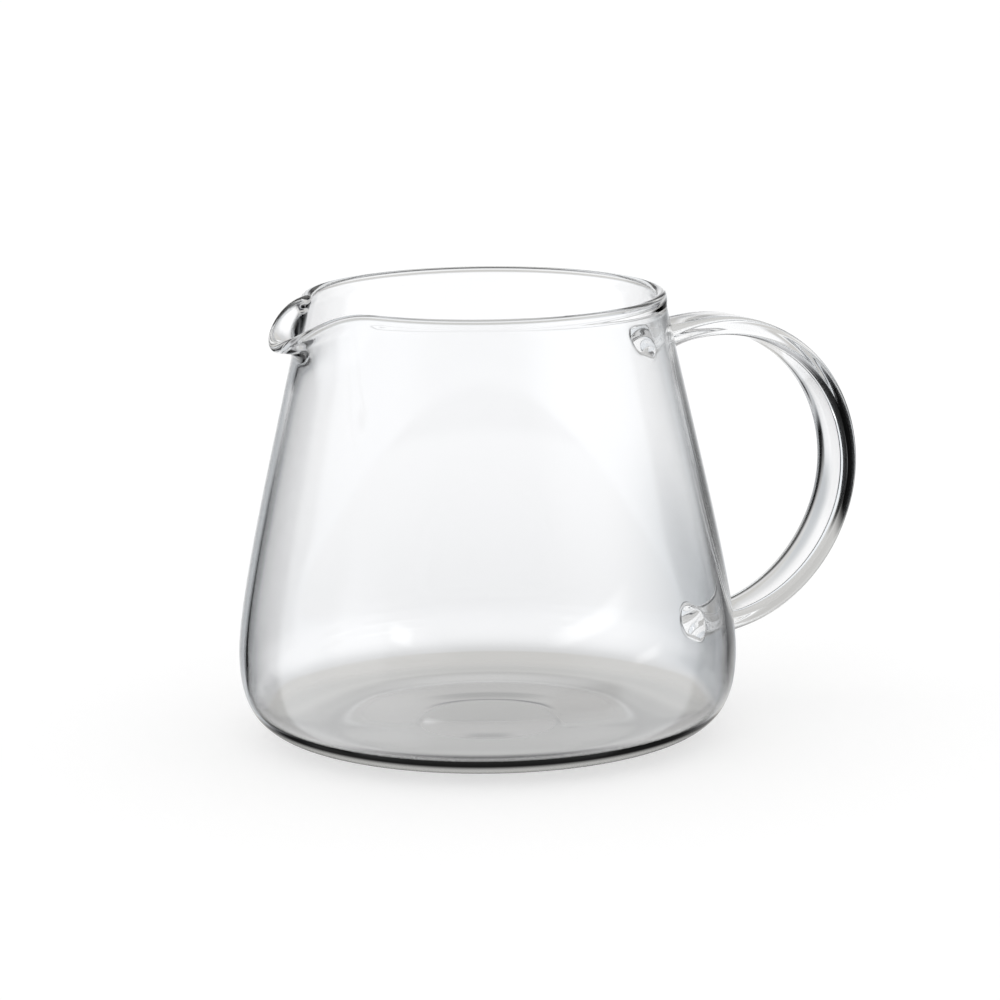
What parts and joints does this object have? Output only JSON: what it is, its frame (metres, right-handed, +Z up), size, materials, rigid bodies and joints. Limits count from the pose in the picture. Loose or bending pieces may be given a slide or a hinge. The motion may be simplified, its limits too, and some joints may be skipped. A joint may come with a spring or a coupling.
{
  "type": "coffee server carafe",
  "caption": "Clear glass coffee server: a blown vessel that widens to a rounded heel, with a drawn spout and a welded strap handle.",
  "frame": {"origin": "centre of the flat underside, on the vessel's axis, at the height of the table", "axes": "+Z up along the vessel's axis, +X towards the handle, -X towards the spout"},
  "size_m": [0.1571, 0.1168, 0.1038],
  "materials": {
    "clear_glass": "clear, fire-polished borosilicate"
  },
  "bodies": {
    "root": {"vessel": "clear_glass", "handle": "clear_glass", "upper_handle_weld": "clear_glass", "lower_handle_weld": "clear_glass"}
  },
  "joints": []
}
